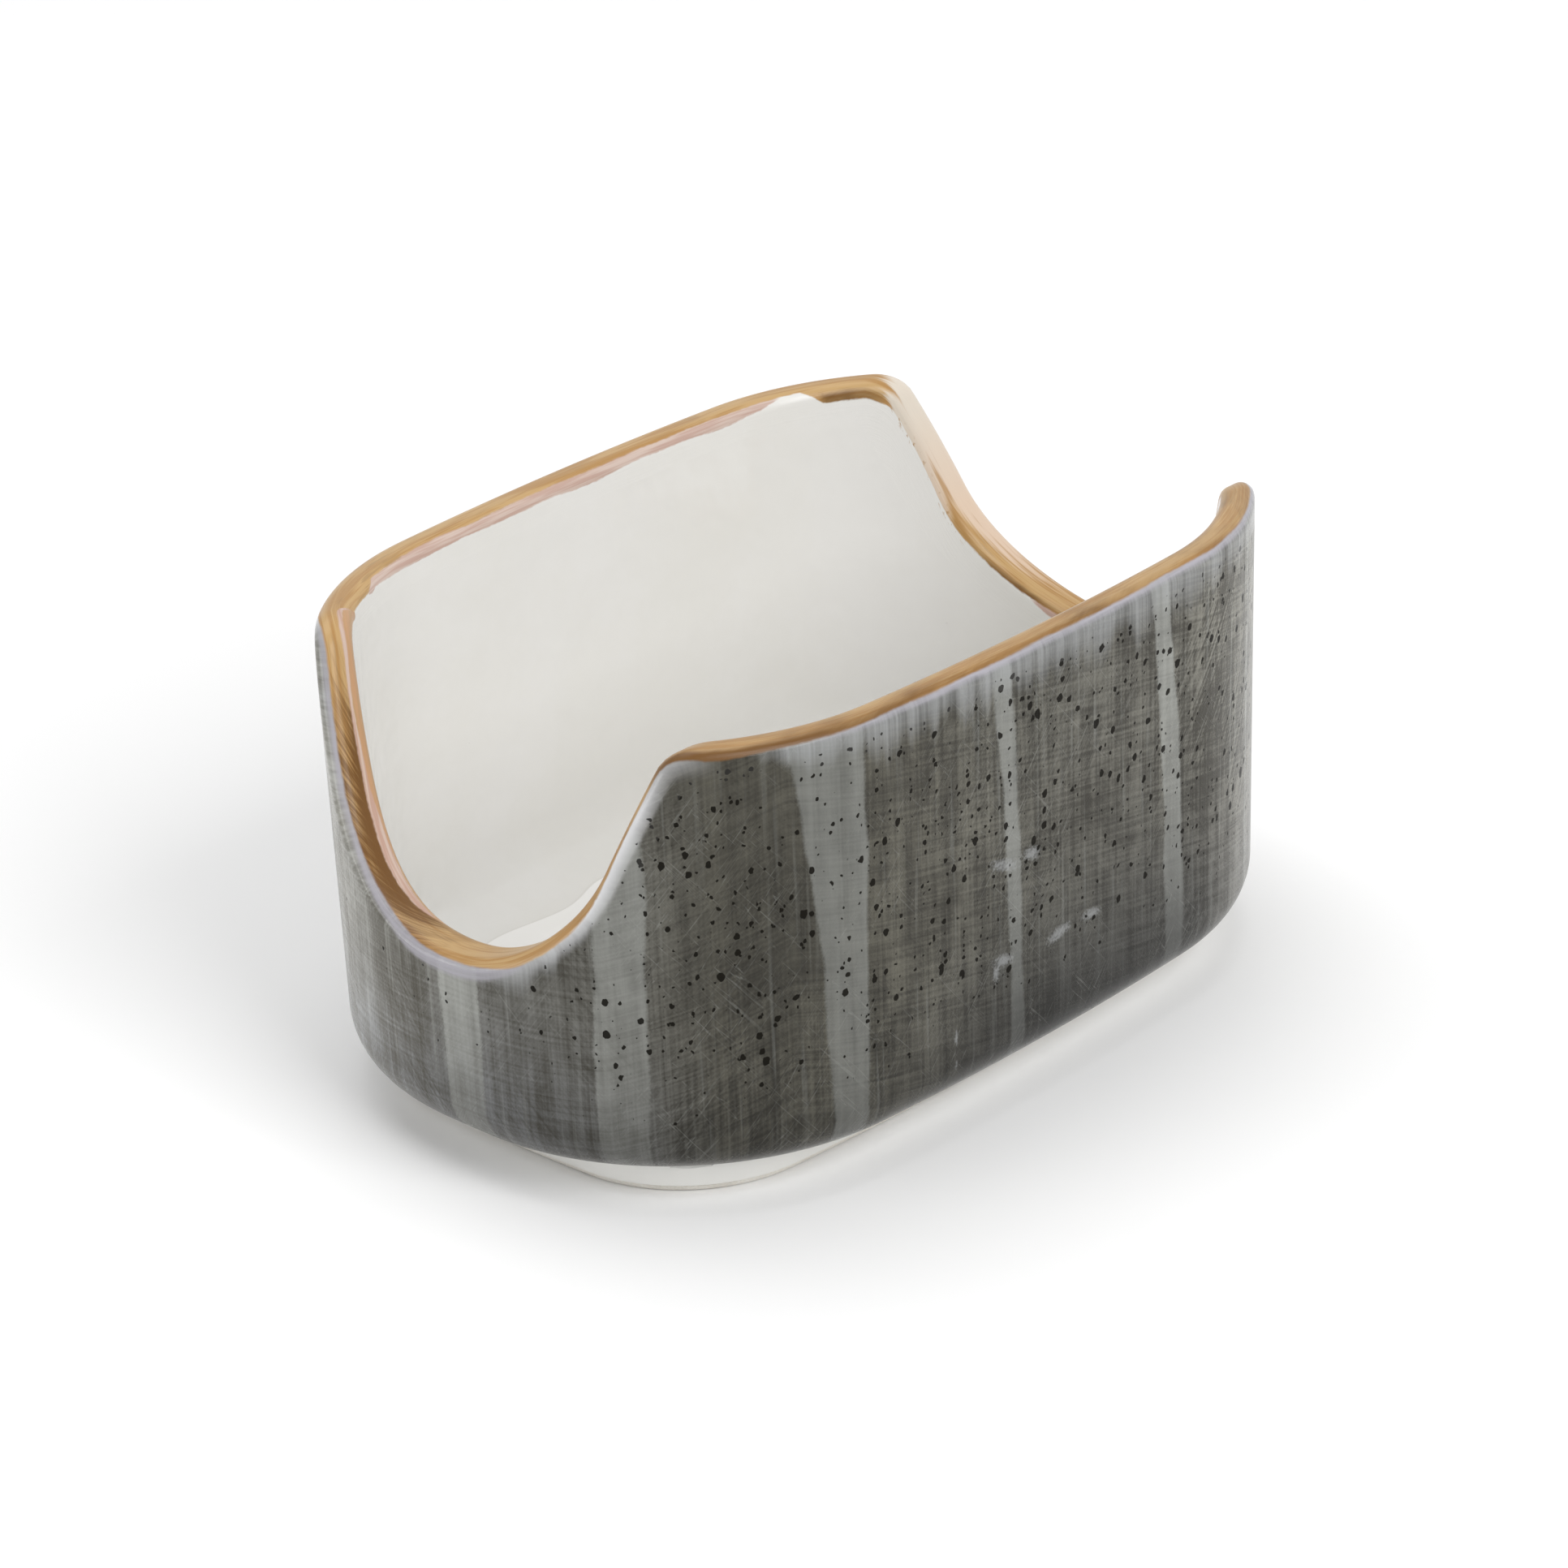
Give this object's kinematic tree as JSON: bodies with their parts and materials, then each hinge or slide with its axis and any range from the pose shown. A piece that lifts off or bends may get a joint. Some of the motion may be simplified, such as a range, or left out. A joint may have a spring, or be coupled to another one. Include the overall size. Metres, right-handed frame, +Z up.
{
  "type": "sugar packet holder",
  "caption": "Oblong open porcelain trough on a low foot ring, with a deep round dip in each end wall, that holds sugar packets upright on a table.",
  "frame": {"origin": "on the table under the middle of the foot ring", "axes": "+X along the trough's length from one dipped end to the other, +Y across it, +Z up out of the open top"},
  "size_m": [0.109, 0.073, 0.053],
  "materials": {
    "fired_clay": "bare fired porcelain, matt, wiped clean on the foot",
    "grey_glaze": "satin brushed grey with paler upright streaks and dark specks",
    "brown_glaze": "glossy brushed ochre brown, worn pale in places",
    "white_glaze": "glossy off-white"
  },
  "bodies": {
    "root": {"porcelain_body": "fired_clay", "foot_ring": "fired_clay", "outer_grey_coat": "grey_glaze", "rim_brown_band": "brown_glaze", "inner_white_glaze": "white_glaze", "foot_white_glaze": "white_glaze", "recess_white_glaze": "white_glaze"}
  },
  "joints": []
}
